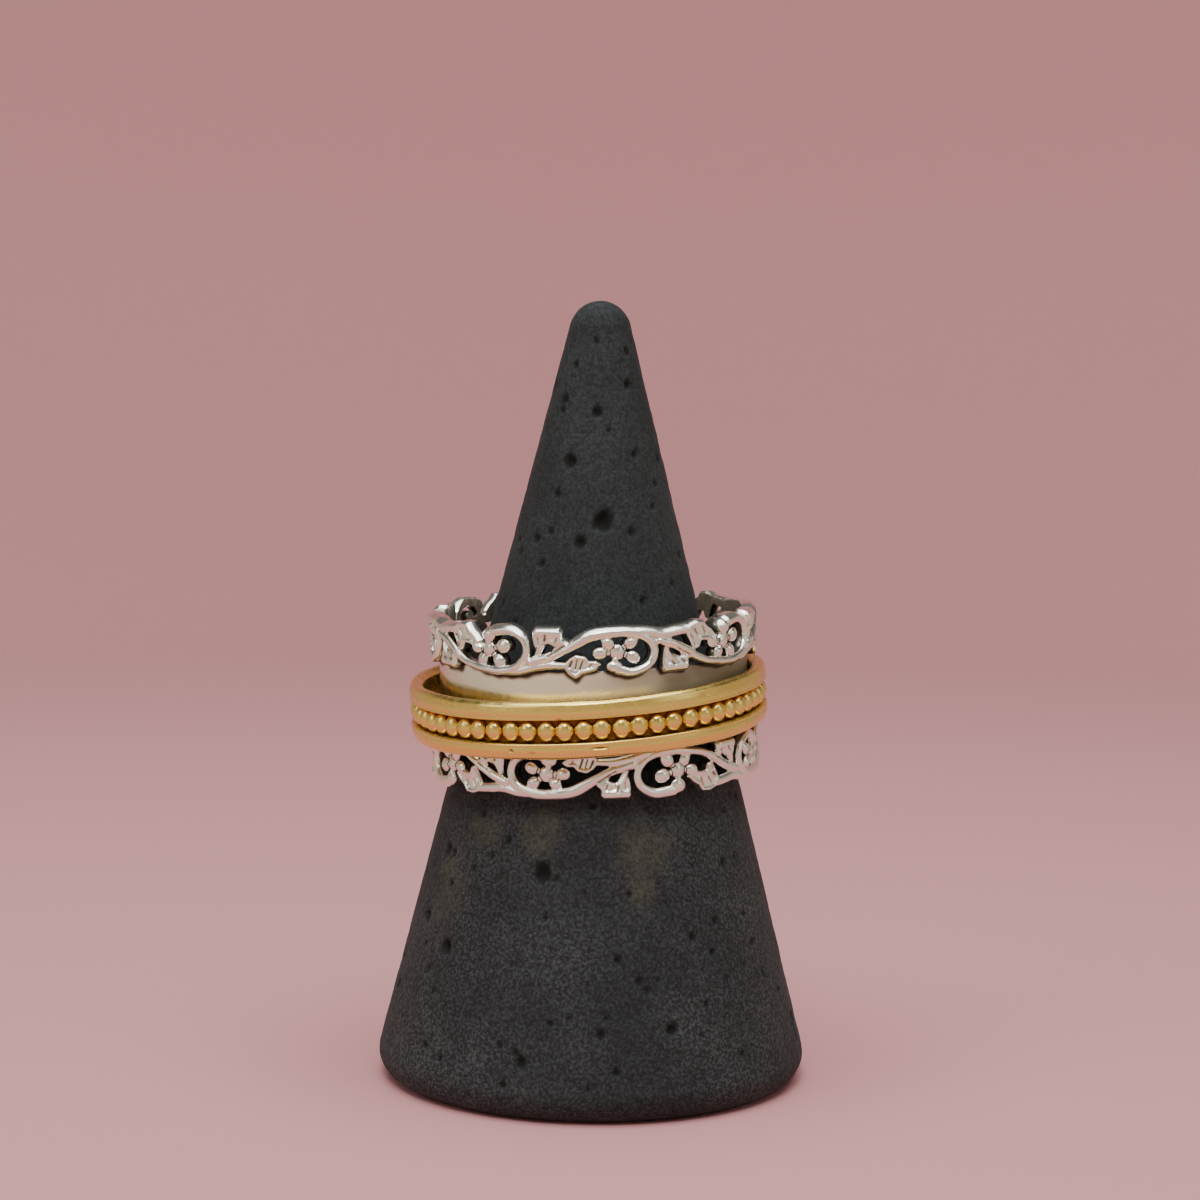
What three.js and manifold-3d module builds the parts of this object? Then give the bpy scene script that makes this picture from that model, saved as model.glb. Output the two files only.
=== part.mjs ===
// A spinner ring resting on a stone ring cone. Millimetres, +Z up, the origin at the centre of the
// cone's flat base, the front towards -Y.
//
// The silver band is a plain sleeve with a pierced vine border soldered on at each end. The gold
// spinner is two flat bands with a row of beads between them, and it turns freely round the sleeve
// between the borders.

import * as THREE from 'three';
import { mergeVertices } from 'three/addons/utils/BufferGeometryUtils.js';
import Module from 'manifold-3d';

const wasm = await Module();
wasm.setup();

// Driving dimensions.

const coneHeight = 45.9;
const coneRadius = 12.65;
const coneBaseFillet = 1.5;
const coneTipRadius = 1.83;

const sleeveInnerRadius = 8.7;
const sleeveOuterRadius = 9.1;
const sleeveHalfHeight = 2.35;

const borderInnerRadius = 8.78;
const borderOuterRadius = 9.75;
const borderMidHeight = 3.52;
const borderPairs = 4;
const unitDegrees = 45;
const upperFlowerDegrees = 8.2;
const lowerFlowerDegrees = -16.3;

const spinnerInnerRadius = 9.65;
const spinnerOuterRadius = 10.55;
const spinnerHalfHeight = 1.67;
const beadCount = 60;

// How finely the curves are cut into facets. The vine is trimmed of edges under the smallest and
// cut at edges over the longest before it is bent round.
const coneSegments = 48;
const coneArcSteps = 4;
const sleeveSegments = 54;
const scrollSteps = 12;
const mainStemSteps = 4;
const knobSides = 6;
const smallestEdge = 0.03;
const longestEdge = 2.6;

// How the ring sits on the cone: its centre and its lean, with the back and the right-hand side
// raised.
const ringCentre = { x: -0.1, y: -0.08, z: 23.1 };
const ringLean = { aboutX: 1.5, aboutY: -1.9 };

// The loose spinner hangs lowest at the front left.
const spinnerCentre = { x: -0.42, y: -0.25, z: 22.6 };
const spinnerLean = { aboutX: 2.8, aboutY: -4.2 };

// The vine border repeats one pair of units: a scroll that curls round a five-petalled flower, a
// flat-topped fluted leaf, and a leaf on the main stem that runs on under them. The second unit
// of the pair is upside down, and its scroll is thinner and its leaf larger. In these tables turn
// is in degrees round the ring from the flower's centre, up is the height from the middle of the
// border, and half is half the width of a stem or petal. The last petal is only a narrow link to the
// scroll's end.

const flutedLeaf = [
  { turn: -28.5, up: -0.5 },
  { turn: -27.9, up: 0.1 },
  { turn: -28.7, up: 0.7 },
  { turn: -28.9, up: 1.16 },
  { turn: -28, up: 1.38 },
  { turn: -19.2, up: 1.38 },
  { turn: -18.2, up: 1.16 },
  { turn: -18.3, up: 0.78 },
  { turn: -16.1, up: 0.54 },
  { turn: -17, up: 0.1 },
  { turn: -24, up: -0.35 },
];

const uprightUnit = {
  scrollStem: [
    { turn: -29.4, up: -0.6, half: 0.3 },
    { turn: -22.8, up: -0.3, half: 0.24 },
    { turn: -20.2, up: -0.13, half: 0.23 },
    { turn: -17.4, up: 0.12, half: 0.25 },
    { turn: -12.5, up: 0.6, half: 0.33 },
    { turn: -7.6, up: 0.95, half: 0.33 },
    { turn: 0, up: 1.08, half: 0.3 },
    { turn: 6, up: 1.03, half: 0.29 },
    { turn: 11.5, up: 0.61, half: 0.28 },
    { turn: 13.4, up: -0.12, half: 0.24 },
    { turn: 11.4, up: -0.82, half: 0.24 },
    { turn: 5.8, up: -1.21, half: 0.24 },
    { turn: 0.6, up: -1.05, half: 0.28 },
  ],
  scrollEnd: { turn: -0.7, up: -0.86, halfLong: 0.46, halfHigh: 0.32 },
  mainStem: [
    { turn: -41, up: -1.18, half: 0.24 },
    { turn: -34, up: -1.12, half: 0.25 },
    { turn: -28, up: -0.85, half: 0.28 },
    { turn: -22.4, up: -0.75, half: 0.23 },
    { turn: -17, up: -0.77, half: 0.2 },
  ],
  mainLeaf: [
    { turn: -18.2, up: -0.75 },
    { turn: -16.2, up: -0.37 },
    { turn: -13.8, up: -0.13 },
    { turn: -10.6, up: -0.23 },
    { turn: -9.2, up: -0.5 },
    { turn: -7, up: -0.5 },
    { turn: -4.9, up: -0.7 },
    { turn: -7.1, up: -1.08 },
    { turn: -11.5, up: -1.26 },
    { turn: -13.8, up: -1.54 },
    { turn: -16.2, up: -1.3 },
    { turn: -17.6, up: -1 },
  ],
  flutedLeafGap: [
    { turn: -26.2, up: -0.2 },
    { turn: -25, up: 0.12 },
    { turn: -23.8, up: 0.42 },
    { turn: -22.4, up: 0.4 },
    { turn: -21, up: 0.22 },
    { turn: -23, up: 0 },
  ],
  flowerCentre: { turn: 0.4, up: -0.07 },
  petals: [
    { turn: 5.2, up: 0.46, half: 0.35 },
    { turn: -2.8, up: 0.48, half: 0.35 },
    { turn: -5.6, up: -0.1, half: 0.35 },
    { turn: 5.8, up: -0.38, half: 0.35 },
    { turn: -0.4, up: -0.5, half: 0.2 },
  ],
};

const upsideDownUnit = {
  scrollStem: [
    { turn: -29.5, up: -0.5, half: 0.25 },
    { turn: -24, up: -0.19, half: 0.26 },
    { turn: -20, up: 0.14, half: 0.26 },
    { turn: -16, up: 0.52, half: 0.24 },
    { turn: -13, up: 0.77, half: 0.23 },
    { turn: -10, up: 0.93, half: 0.22 },
    { turn: -3, up: 1.13, half: 0.24 },
    { turn: 4, up: 1.17, half: 0.25 },
    { turn: 10.5, up: 0.87, half: 0.23 },
    { turn: 13.9, up: 0.1, half: 0.22 },
    { turn: 12.8, up: -0.69, half: 0.25 },
    { turn: 8, up: -1.16, half: 0.29 },
    { turn: 1.2, up: -1.08, half: 0.33 },
  ],
  scrollEnd: { turn: -0.9, up: -0.85, halfLong: 0.48, halfHigh: 0.4 },
  mainStem: [
    { turn: -41, up: -1.1, half: 0.27 },
    { turn: -34, up: -1.03, half: 0.28 },
    { turn: -28, up: -0.85, half: 0.3 },
    { turn: -23, up: -0.93, half: 0.29 },
    { turn: -18, up: -1, half: 0.28 },
  ],
  mainLeaf: [
    { turn: -19.4, up: -0.76 },
    { turn: -17.8, up: -0.3 },
    { turn: -16, up: 0.25 },
    { turn: -13.9, up: 0.18 },
    { turn: -12.9, up: -0.2 },
    { turn: -10, up: -0.18 },
    { turn: -7.3, up: 0 },
    { turn: -4.8, up: -0.42 },
    { turn: -7.3, up: -0.83 },
    { turn: -9.5, up: -1.05 },
    { turn: -11.2, up: -1.4 },
    { turn: -14.5, up: -1.43 },
    { turn: -18.4, up: -1.25 },
  ],
  flutedLeafGap: [
    { turn: -26.5, up: -0.12 },
    { turn: -24.8, up: 0.26 },
    { turn: -22, up: 0.53 },
    { turn: -20.6, up: 0.5 },
    { turn: -23, up: 0.16 },
  ],
  flowerCentre: { turn: -1.3, up: 0 },
  petals: [
    { turn: 3, up: 0.66, half: 0.38 },
    { turn: -4.1, up: 0.6, half: 0.35 },
    { turn: -6.8, up: -0.06, half: 0.35 },
    { turn: 4.9, up: -0.22, half: 0.4 },
    { turn: -1.1, up: -0.48, half: 0.22 },
  ],
};

// How far each part of the vine stands out from the inside of the border.
const relief = { scroll: 0.97, mainStem: 0.92, flutedLeaf: 0.94, mainLeaf: 0.88, flower: 0.84 };

// Helpers.

const radians = THREE.MathUtils.degToRad;

function solidOf(geometry) {
  const bare = geometry.clone();
  bare.deleteAttribute('normal');
  bare.deleteAttribute('uv');
  const merged = mergeVertices(bare, 1e-5);
  return new wasm.Manifold(new wasm.Mesh({
    numProp: 3,
    vertProperties: new Float32Array(merged.attributes.position.array),
    triVerts: new Uint32Array(merged.index.array),
  }));
}

function geometryOf(solid) {
  const mesh = solid.getMesh();
  const geometry = new THREE.BufferGeometry();
  geometry.setAttribute('position', new THREE.BufferAttribute(mesh.vertProperties, 3));
  geometry.setIndex(new THREE.BufferAttribute(mesh.triVerts, 1));
  geometry.computeVertexNormals();
  return geometry;
}

function joined(solids) {
  return solids.reduce((whole, solid) => whole.add(solid));
}

// A turned solid: the profile's x is the radius and its y is the height.
function turned(profile, segments) {
  return new THREE.LatheGeometry(profile, segments).rotateX(Math.PI / 2);
}

function arc(centreX, centreY, radius, from, to, steps) {
  const points = [];
  for (let i = 0; i <= steps; i += 1) {
    const angle = from + (to - from) * (i / steps);
    const x = centreX + radius * Math.cos(angle);
    points.push(new THREE.Vector2(x, centreY + radius * Math.sin(angle)));
  }
  return points;
}

// The stone cone.

function ringConeGeometry() {
  const filletX = coneRadius - coneBaseFillet;
  const tipY = coneHeight - coneTipRadius;
  const rise = tipY - coneBaseFillet;
  const span = Math.hypot(filletX, rise);
  // The straight side is the line that touches both the base fillet and the round tip.
  const sideAngle = Math.atan2(filletX, rise)
    + Math.asin((coneBaseFillet - coneTipRadius) / span);
  const profile = [
    new THREE.Vector2(0, 0),
    ...arc(filletX, coneBaseFillet, coneBaseFillet, -Math.PI / 2, sideAngle, coneArcSteps),
    ...arc(0, tipY, coneTipRadius, sideAngle, Math.PI / 2, coneArcSteps),
  ];
  profile[profile.length - 1].x = 0;
  return turned(profile, coneSegments);
}

// The vine. It is drawn flat, with x along the border, y up and z out, and then bent round.

function flatPoint(place, flip) {
  return new THREE.Vector2(radians(place.turn) * borderOuterRadius, place.up * flip);
}

function raised(shape, height) {
  return solidOf(new THREE.ExtrudeGeometry(shape, { depth: height, bevelEnabled: false }));
}

function leafShape(outline, flip) {
  return new THREE.Shape(outline.map((place) => flatPoint(place, flip)));
}

// A stem is the band on both sides of a smooth curve through its stations.
function stemShape(stations, steps, flip) {
  const places = stations.map((station) => {
    const point = flatPoint(station, flip);
    return new THREE.Vector3(point.x, point.y, station.half);
  });
  const curve = new THREE.CatmullRomCurve3(places);
  const left = [];
  const right = [];
  for (let i = 0; i <= steps; i += 1) {
    const middle = curve.getPoint(i / steps);
    const along = curve.getTangent(i / steps);
    const across = new THREE.Vector2(-along.y, along.x).normalize().multiplyScalar(middle.z);
    left.push(new THREE.Vector2(middle.x + across.x, middle.y + across.y));
    right.unshift(new THREE.Vector2(middle.x - across.x, middle.y - across.y));
  }
  return new THREE.Shape([...left, ...right]);
}

// The scroll's rounded end.
function knobShape(end, flip) {
  const centre = flatPoint(end, flip);
  const circle = arc(0, 0, 1, 0, Math.PI * 2, knobSides).slice(0, knobSides);
  const stretch = new THREE.Vector2(end.halfLong, end.halfHigh);
  return new THREE.Shape(circle.map((point) => point.multiply(stretch).add(centre)));
}

// Each petal is a round-ended lobe from the flower's centre to its place, with a notch before it.
function flowerShape(flowerCentre, petals, flip) {
  const notchRadius = 0.4;
  const petalOverhang = 0.33;
  const centre = flatPoint(flowerCentre, flip);
  const rays = petals.map((petal) => {
    const offset = flatPoint(petal, flip).sub(centre);
    return { angle: offset.angle(), reach: offset.length(), half: petal.half };
  }).sort((a, b) => a.angle - b.angle);
  const points = [];
  rays.forEach((ray, i) => {
    const next = rays[(i + 1) % rays.length];
    const gapToNext = (next.angle - ray.angle + Math.PI * 2) % (Math.PI * 2);
    const spread = ray.half / ray.reach;
    const outline = [
      [ray.angle - spread, ray.reach + petalOverhang / 3],
      [ray.angle, ray.reach + petalOverhang],
      [ray.angle + spread, ray.reach + petalOverhang / 3],
      [ray.angle + gapToNext / 2, notchRadius],
    ];
    for (const [angle, reach] of outline) {
      const x = centre.x + reach * Math.cos(angle);
      points.push(new THREE.Vector2(x, centre.y + reach * Math.sin(angle)));
    }
  });
  return new THREE.Shape(points);
}

function vineUnit(unit, flip) {
  const flower = flowerShape(unit.flowerCentre, unit.petals, flip);
  const fluted = raised(leafShape(flutedLeaf, flip), relief.flutedLeaf);
  const gapDepth = relief.flutedLeaf * 3;
  const gapShape = leafShape(unit.flutedLeafGap, flip);
  const gap = raised(gapShape, gapDepth).translate([0, 0, -gapDepth / 3]);
  return joined([
    raised(stemShape(unit.scrollStem, scrollSteps, flip), relief.scroll),
    raised(knobShape(unit.scrollEnd, flip), relief.scroll),
    raised(stemShape(unit.mainStem, mainStemSteps, flip), relief.mainStem),
    fluted.subtract(gap),
    raised(leafShape(unit.mainLeaf, flip), relief.mainLeaf),
    raised(flower, relief.flower),
  ]);
}

function bentRound(flatSolid) {
  return flatSolid.warp((point) => {
    const angle = point[0] / borderOuterRadius;
    const radius = borderInnerRadius + point[2];
    const height = point[1];
    point[0] = radius * Math.sin(angle);
    point[1] = -radius * Math.cos(angle);
    point[2] = height;
  });
}

// The pair of units, upright and upside down, is repeated round the ring.
function vineBorder() {
  const unitLength = radians(unitDegrees) * borderOuterRadius;
  const upsideDown = vineUnit(upsideDownUnit, -1).translate([unitLength, 0, 0]);
  const pair = vineUnit(uprightUnit, 1).add(upsideDown);
  const trimmed = pair.asOriginal().simplify(smallestEdge).refineToLength(longestEdge);
  const bentPair = bentRound(trimmed);
  const pairs = [];
  for (let i = 0; i < borderPairs; i += 1) {
    pairs.push(bentPair.rotate([0, 0, (360 / borderPairs) * i]));
  }
  return joined(pairs);
}

function silverBandGeometry() {
  const sleeveProfile = [
    new THREE.Vector2(sleeveInnerRadius, -sleeveHalfHeight),
    new THREE.Vector2(sleeveOuterRadius, -sleeveHalfHeight),
    new THREE.Vector2(sleeveOuterRadius, sleeveHalfHeight),
    new THREE.Vector2(sleeveInnerRadius, sleeveHalfHeight),
    new THREE.Vector2(sleeveInnerRadius, -sleeveHalfHeight),
  ];
  const sleeve = solidOf(turned(sleeveProfile, sleeveSegments));
  const border = vineBorder();
  const upper = border.rotate([0, 0, upperFlowerDegrees]).translate([0, 0, borderMidHeight]);
  // The lower border is the same casting turned over.
  const lower = border.rotate([0, 180, 0])
    .rotate([0, 0, lowerFlowerDegrees])
    .translate([0, 0, -borderMidHeight]);
  return geometryOf(joined([sleeve, upper, lower]));
}

// The gold spinner: a lathed section whose bead row is pinched in between the beads.
function goldSpinnerGeometry() {
  const edge = 0.28;
  const bandInnerEdge = 0.69;
  const grooveRadius = spinnerOuterRadius - 0.55;
  const grooveHeight = 0.6;
  const crownRadius = spinnerOuterRadius - 0.06;
  const crownHeight = 0.29;
  const pinch = 0.3;
  const upperHalf = [
    [crownRadius, crownHeight],
    [grooveRadius, grooveHeight],
    [spinnerOuterRadius - 0.08, bandInnerEdge],
    [spinnerOuterRadius, spinnerHalfHeight - edge],
    [spinnerOuterRadius - edge, spinnerHalfHeight],
    [spinnerInnerRadius + edge, spinnerHalfHeight],
    [spinnerInnerRadius, spinnerHalfHeight - edge],
  ];
  const lowerHalf = upperHalf.map(([radius, height]) => [radius, -height]).reverse();
  const section = [...lowerHalf, ...upperHalf, lowerHalf[0]];
  const profile = section.map(([radius, height]) => new THREE.Vector2(radius, height));
  const geometry = turned(profile, beadCount * 2);
  const position = geometry.attributes.position;
  for (let i = 0; i < position.count; i += 1) {
    const x = position.getX(i);
    const y = position.getY(i);
    const radius = Math.hypot(x, y);
    const isCrown = Math.abs(Math.abs(position.getZ(i)) - crownHeight) < 1e-3;
    const station = Math.round((Math.atan2(y, x) / (Math.PI * 2)) * beadCount * 2);
    if (isCrown && station % 2 !== 0) {
      const drawnIn = (radius - pinch) / radius;
      position.setXY(i, x * drawnIn, y * drawnIn);
    }
  }
  return geometryOf(solidOf(geometry));
}

// Materials.

const stone = new THREE.MeshStandardMaterial({ color: '#3d3e3a', roughness: 0.95, metalness: 0 });
const silver = new THREE.MeshStandardMaterial({ color: '#d8d2cc', roughness: 0.3, metalness: 1 });
const gold = new THREE.MeshStandardMaterial({ color: '#d8b06a', roughness: 0.28, metalness: 1 });

// The parts in place.

function namedMesh(name, geometry, material) {
  const mesh = new THREE.Mesh(geometry, material);
  mesh.name = name;
  return mesh;
}

function placed(mesh, centre, lean) {
  mesh.position.set(centre.x, centre.y, centre.z);
  mesh.rotation.set(radians(lean.aboutX), radians(lean.aboutY), 0);
  return mesh;
}

const group = new THREE.Group();
group.add(namedMesh('ring_cone', ringConeGeometry(), stone));
group.add(placed(namedMesh('silver_band', silverBandGeometry(), silver), ringCentre, ringLean));
group.add(placed(namedMesh('gold_spinner', goldSpinnerGeometry(), gold), spinnerCentre, spinnerLean));

export default group;
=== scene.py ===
import math
import bpy
import numpy as np
from mathutils import Matrix


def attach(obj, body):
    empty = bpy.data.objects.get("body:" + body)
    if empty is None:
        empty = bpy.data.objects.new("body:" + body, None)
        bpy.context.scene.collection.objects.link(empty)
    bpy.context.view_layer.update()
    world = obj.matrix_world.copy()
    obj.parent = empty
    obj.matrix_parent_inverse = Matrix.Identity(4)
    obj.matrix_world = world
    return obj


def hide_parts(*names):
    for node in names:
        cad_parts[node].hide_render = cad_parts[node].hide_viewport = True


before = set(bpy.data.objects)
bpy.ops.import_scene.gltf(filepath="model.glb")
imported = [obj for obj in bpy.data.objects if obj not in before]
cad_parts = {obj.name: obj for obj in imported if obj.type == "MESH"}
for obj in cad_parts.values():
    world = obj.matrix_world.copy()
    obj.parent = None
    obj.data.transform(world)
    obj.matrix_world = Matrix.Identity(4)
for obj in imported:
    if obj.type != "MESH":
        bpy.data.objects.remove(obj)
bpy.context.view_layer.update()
mm = 0.001                      # the pieces are worked out in millimetres, the studio in metres
draws = np.random.default_rng(11)
print("frame loaded")


def linearColour(hexColour):
    # sRGB hex to linear: each channel goes through the sRGB curve, and alpha is 1
    channels = np.array([int(hexColour[i:i + 2], 16) for i in (1, 3, 5)]) / 255
    curved = np.where(channels <= 0.04045, channels / 12.92, ((channels + 0.055) / 1.055) ** 2.4)
    return (*curved.tolist(), 1.0)


def smoothStep(low, high, value):
    # 0 at low, 1 at high, and a soft S between them
    share = np.clip((value - low) / (high - low), 0, 1)
    return share * share * (3 - 2 * share)


def waveNoise(points, wavelength, seed, waves=20):
    # a soft random field of about -1 to 1: the sum of plane waves in random directions, each
    # 0.7 to 1.5 wavelengths long
    source = np.random.default_rng(seed)
    directions = source.normal(size=(waves, 3))
    directions /= np.linalg.norm(directions, axis=1)[:, None]
    lengths = wavelength * source.uniform(0.7, 1.5, waves)
    phases = points @ (directions * (2 * np.pi / lengths[:, None])).T
    phases += source.uniform(0, 6.28, waves)
    return np.sin(phases).sum(axis=1) / math.sqrt(waves) * 0.9


def roundRing(turn, radius, height):
    # a point on a ring: turn is the angle from the front (-Y) towards +X
    return np.stack([radius * np.sin(turn), -radius * np.cos(turn), height + 0 * turn], axis=-1)


def turnedSection(section, columns):
    # each radius and height of a section carried round Z
    turn = np.arange(columns) / columns * 2 * np.pi
    return roundRing(turn[None, :], section[:, :1], section[:, 1:]).reshape(-1, 3)


def seated(points, seat):
    # the points turned about Y, then about X, then carried to the seat's centre
    turned = (Matrix.Rotation(math.radians(seat["aboutX"]), 3, "X")
              @ Matrix.Rotation(math.radians(seat["aboutY"]), 3, "Y"))
    return points @ np.array(turned).T + np.array(seat["centre"])


def gridQuads(rows, columns, closedRows=False):
    # one quad between each point of a rows x columns grid and its next row and column
    row = np.arange(rows if closedRows else rows - 1)[:, None]
    column = np.arange(columns)[None, :]
    nextRow, nextColumn = (row + 1) % rows, (column + 1) % columns
    corners = [row * columns + column, row * columns + nextColumn,
               nextRow * columns + nextColumn, nextRow * columns + column]
    return np.stack(corners, axis=-1).reshape(-1, 4)


def makePiece(name, points, quads, attributes, triangles=np.zeros((0, 3), int)):
    # points are in millimetres, where they lie in the frame
    mesh = bpy.data.meshes.new(name)
    corners = np.concatenate([quads.ravel(), triangles.ravel()]).astype(np.int32)
    starts = np.concatenate([np.arange(len(quads)) * 4,
                             len(quads) * 4 + np.arange(len(triangles)) * 3])
    mesh.vertices.add(len(points))
    mesh.vertices.foreach_set("co", (points * mm).astype(np.float32).ravel())
    mesh.loops.add(len(corners))
    mesh.loops.foreach_set("vertex_index", corners)
    mesh.polygons.add(len(starts))
    mesh.polygons.foreach_set("loop_start", starts.astype(np.int32))
    for attributeName, values in attributes.items():
        layer = mesh.attributes.new(attributeName, "FLOAT", "POINT")
        layer.data.foreach_set("value", np.asarray(values, np.float32))
    mesh.update(calc_edges=True)
    mesh.polygons.foreach_set("use_smooth", np.ones(len(starts), bool))
    piece = bpy.data.objects.new(name, mesh)
    bpy.context.scene.collection.objects.link(piece)
    print(name, len(quads) * 2 + len(triangles), "triangles")
    return piece


def dress(piece, material, body, nodeName):
    # gives a piece its material and says which body and CAD node it goes with
    piece.data.materials.append(material)
    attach(piece, body)
    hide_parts(nodeName)


def addNode(material, kind, settings):
    # one shader node, which gives back its outputs: a setting is a property, an input's value
    # or another node's output that is joined to the input
    node = material.node_tree.nodes.new("ShaderNode" + kind)
    for key, value in settings.items():
        if isinstance(value, bpy.types.NodeSocket):
            material.node_tree.links.new(value, node.inputs[key])
        elif isinstance(key, str) and key in node.bl_rna.properties:
            setattr(node, key, value)
        else:
            node.inputs[key].default_value = value
    return node.outputs


def newMaterial(name, attributes=(), noises=()):
    # an empty material, with an output for each attribute that it reads and each noise: size in
    # mm, detail, roughness, and how much finer it is along Z
    material = bpy.data.materials.new(name)
    material.use_nodes = True
    material.node_tree.nodes.clear()
    outputs = [addNode(material, "Attribute", {"attribute_name": attribute})["Fac"]
               for attribute in attributes]
    for sizeMm, detail, fine, squash in noises:
        place = addNode(material, "TexCoord", {})["Object"]
        squashed = addNode(material, "Mapping", {"Vector": place, "Scale": (1, 1, squash)})[0]
        outputs.append(addNode(material, "TexNoise", {
            "Vector": squashed, "Scale": 1 / (sizeMm * mm), "Detail": detail,
            "Roughness": fine})["Fac"])
    return material, outputs


basalt = {
    "ground": linearColour("#23282a"), "grit": linearColour("#141819"),
    # the dust colour also paints a sheen on the cone's sides
    "dustAndSheen": linearColour("#44494a"), "stain": linearColour("#4b4a3c"),
    # painted shade: the pores' wells are coloured near black
    "poreShade": linearColour("#0a0a09"), "clouded": linearColour("#cdd0d3"),
    # the grain, the specks and the clouds
    "noises": ((0.34, 4.0, 0.7, 1), (0.17, 2.0, 0.5, 1), (4.5, 3.0, 0.5, 1)),
    "grainBump": 0.5, "grainRiseMm": 0.06, "speckBump": 0.3, "speckRiseMm": 0.03,
    "roughness": 0.88, "ior": 1.45,
}


def honedBasalt():
    # vesicular basalt, ground to shape and left matt: dark grey with pale dust in its grain, and a
    # painted sheen over it at the sides, soft cloudy patches, and open pores painted black as shade
    material, (poreShade, stain, dustAndSheen, grain, speck, cloud) = newMaterial(
        "honed basalt", ("poreShade", "stain", "dustAndSheen"), basalt["noises"])
    gritty, speckShare, patchy, shade = (
        addNode(material, "MapRange", {"Value": value, "From Min": low, "From Max": high,
                                       "To Min": least})[0]
        for value, low, high, least in (
            (grain, 0.34, 0.58, 0.0), (speck, 0.45, 0.72, 0.0),
            (grain, 0.35, 0.65, 0.3), (cloud, 0.35, 0.65, 0.0)))
    # dust, with a painted sheen at the sides, lies on the specks
    dustAndSheenShare, stained = (addNode(material, "Math", {"operation": "MULTIPLY", 0: share, 1: most})[0]
                       for share, most in ((speckShare, dustAndSheen), (patchy, stain)))
    colour = addNode(material, "Mix", {
        "data_type": "RGBA", 0: gritty, 6: basalt["grit"], 7: basalt["ground"]})[2]
    for share, over, blend in ((dustAndSheenShare, "dustAndSheen", "MIX"), (stained, "stain", "MIX"),
                               (shade, "clouded", "MULTIPLY"), (poreShade, "poreShade", "MIX")):
        colour = addNode(material, "Mix", {
            "data_type": "RGBA", "blend_type": blend, 0: share, 6: colour, 7: basalt[over]})[2]
    rise = addNode(material, "Bump", {
        "Height": grain, "Strength": basalt["grainBump"],
        "Distance": basalt["grainRiseMm"] * mm})[0]
    rise = addNode(material, "Bump", {
        "Height": speck, "Normal": rise, "Strength": basalt["speckBump"],
        "Distance": basalt["speckRiseMm"] * mm})[0]
    shader = addNode(material, "BsdfPrincipled", {
        "Base Color": colour, "Normal": rise, "Roughness": basalt["roughness"],
        "IOR": basalt["ior"]})[0]
    addNode(material, "OutputMaterial", {"Surface": shader})
    return material


castSilver = {
    "metal": linearColour("#f2efe4"), "film": linearColour("#968c7a"),
    "oxide": linearColour("#120e0b"), "polished": 0.24, "oxidised": 0.6, "oxideMetallic": 0.15,
    "uneven": 0.14, "filmSpan": (0.12, 0.5), "oxideSpan": (0.42, 0.74),
    # the mottling and the scratches
    "noises": ((0.3, 3.0, 0.5, 1), (0.35, 4.0, 0.6, 1)), "bump": 0.3, "riseMm": 0.02,
}


def oxidisedSilver():
    # sterling silver, cast, blackened all over and polished back on its high places:
    # bright warm white tops, brown film on the slopes and black recesses
    material, (patinaAndShade, mottle, scratch) = newMaterial(
        "oxidised cast silver", ("patinaAndShade",), castSilver["noises"])
    shift = addNode(material, "MapRange", {
        "Value": mottle, "From Min": 0.3, "From Max": 0.7, "To Min": -castSilver["uneven"],
        "To Max": castSilver["uneven"]})[0]
    mottled = addNode(material, "Math", {"operation": "ADD", 0: shift, 1: patinaAndShade})[0]
    film, black = (
        addNode(material, "MapRange", {"Value": mottled, "From Min": low, "From Max": high})[0]
        for low, high in (castSilver["filmSpan"], castSilver["oxideSpan"]))
    colour = addNode(material, "Mix", {
        "data_type": "RGBA", 0: film, 6: castSilver["metal"], 7: castSilver["film"]})[2]
    colour = addNode(material, "Mix", {
        "data_type": "RGBA", 0: black, 6: colour, 7: castSilver["oxide"]})[2]
    rough, metallic = (
        addNode(material, "MapRange", {"Value": black, "To Min": bare, "To Max": covered})[0]
        for bare, covered in ((castSilver["polished"], castSilver["oxidised"]),
                              (1.0, castSilver["oxideMetallic"])))
    rise = addNode(material, "Bump", {
        "Height": scratch, "Strength": castSilver["bump"],
        "Distance": castSilver["riseMm"] * mm})[0]
    shader = addNode(material, "BsdfPrincipled", {
        "Base Color": colour, "Roughness": rough, "Metallic": metallic, "Normal": rise})[0]
    addNode(material, "OutputMaterial", {"Surface": shader})
    return material


# plain sterling silver, turned and polished by hand: a mirror with faint rubbing marks round it,
# brown-black oxide in the corner beside the vine, spread out below the vine as painted shade,
# and a painted dark reflection over its front-right
sleeveFinish = {
    "metal": linearColour("#f3ead8"), "oxide": linearColour("#3a2815"),
    "bright": 0.15, "worn": 0.27, "oxideDulls": 0.4, "oxideMetallic": 0.2,
    "noises": ((1.5, 2.0, 0.5, 1), (1.2, 4.0, 0.6, 6)), "bump": 0.2, "riseMm": 0.02,
}

# yellow gold, polished and worn by handling: warm, with soft scratches, and brown tarnish where
# a cloth doesn't reach; the beads' scratches are finer
goldFinish = {
    "metal": linearColour("#ebcf74"), "oxide": linearColour("#7d5422"),
    "bright": 0.2, "worn": 0.34, "oxideDulls": 0.25,
    "noises": ((0.5, 3.0, 0.5, 1), (0.9, 4.0, 0.6, 1)), "bump": 0.3, "riseMm": 0.025,
}
beadFinish = {**goldFinish, "noises": (goldFinish["noises"][0], (0.5, 4.0, 0.6, 1))}


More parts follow.
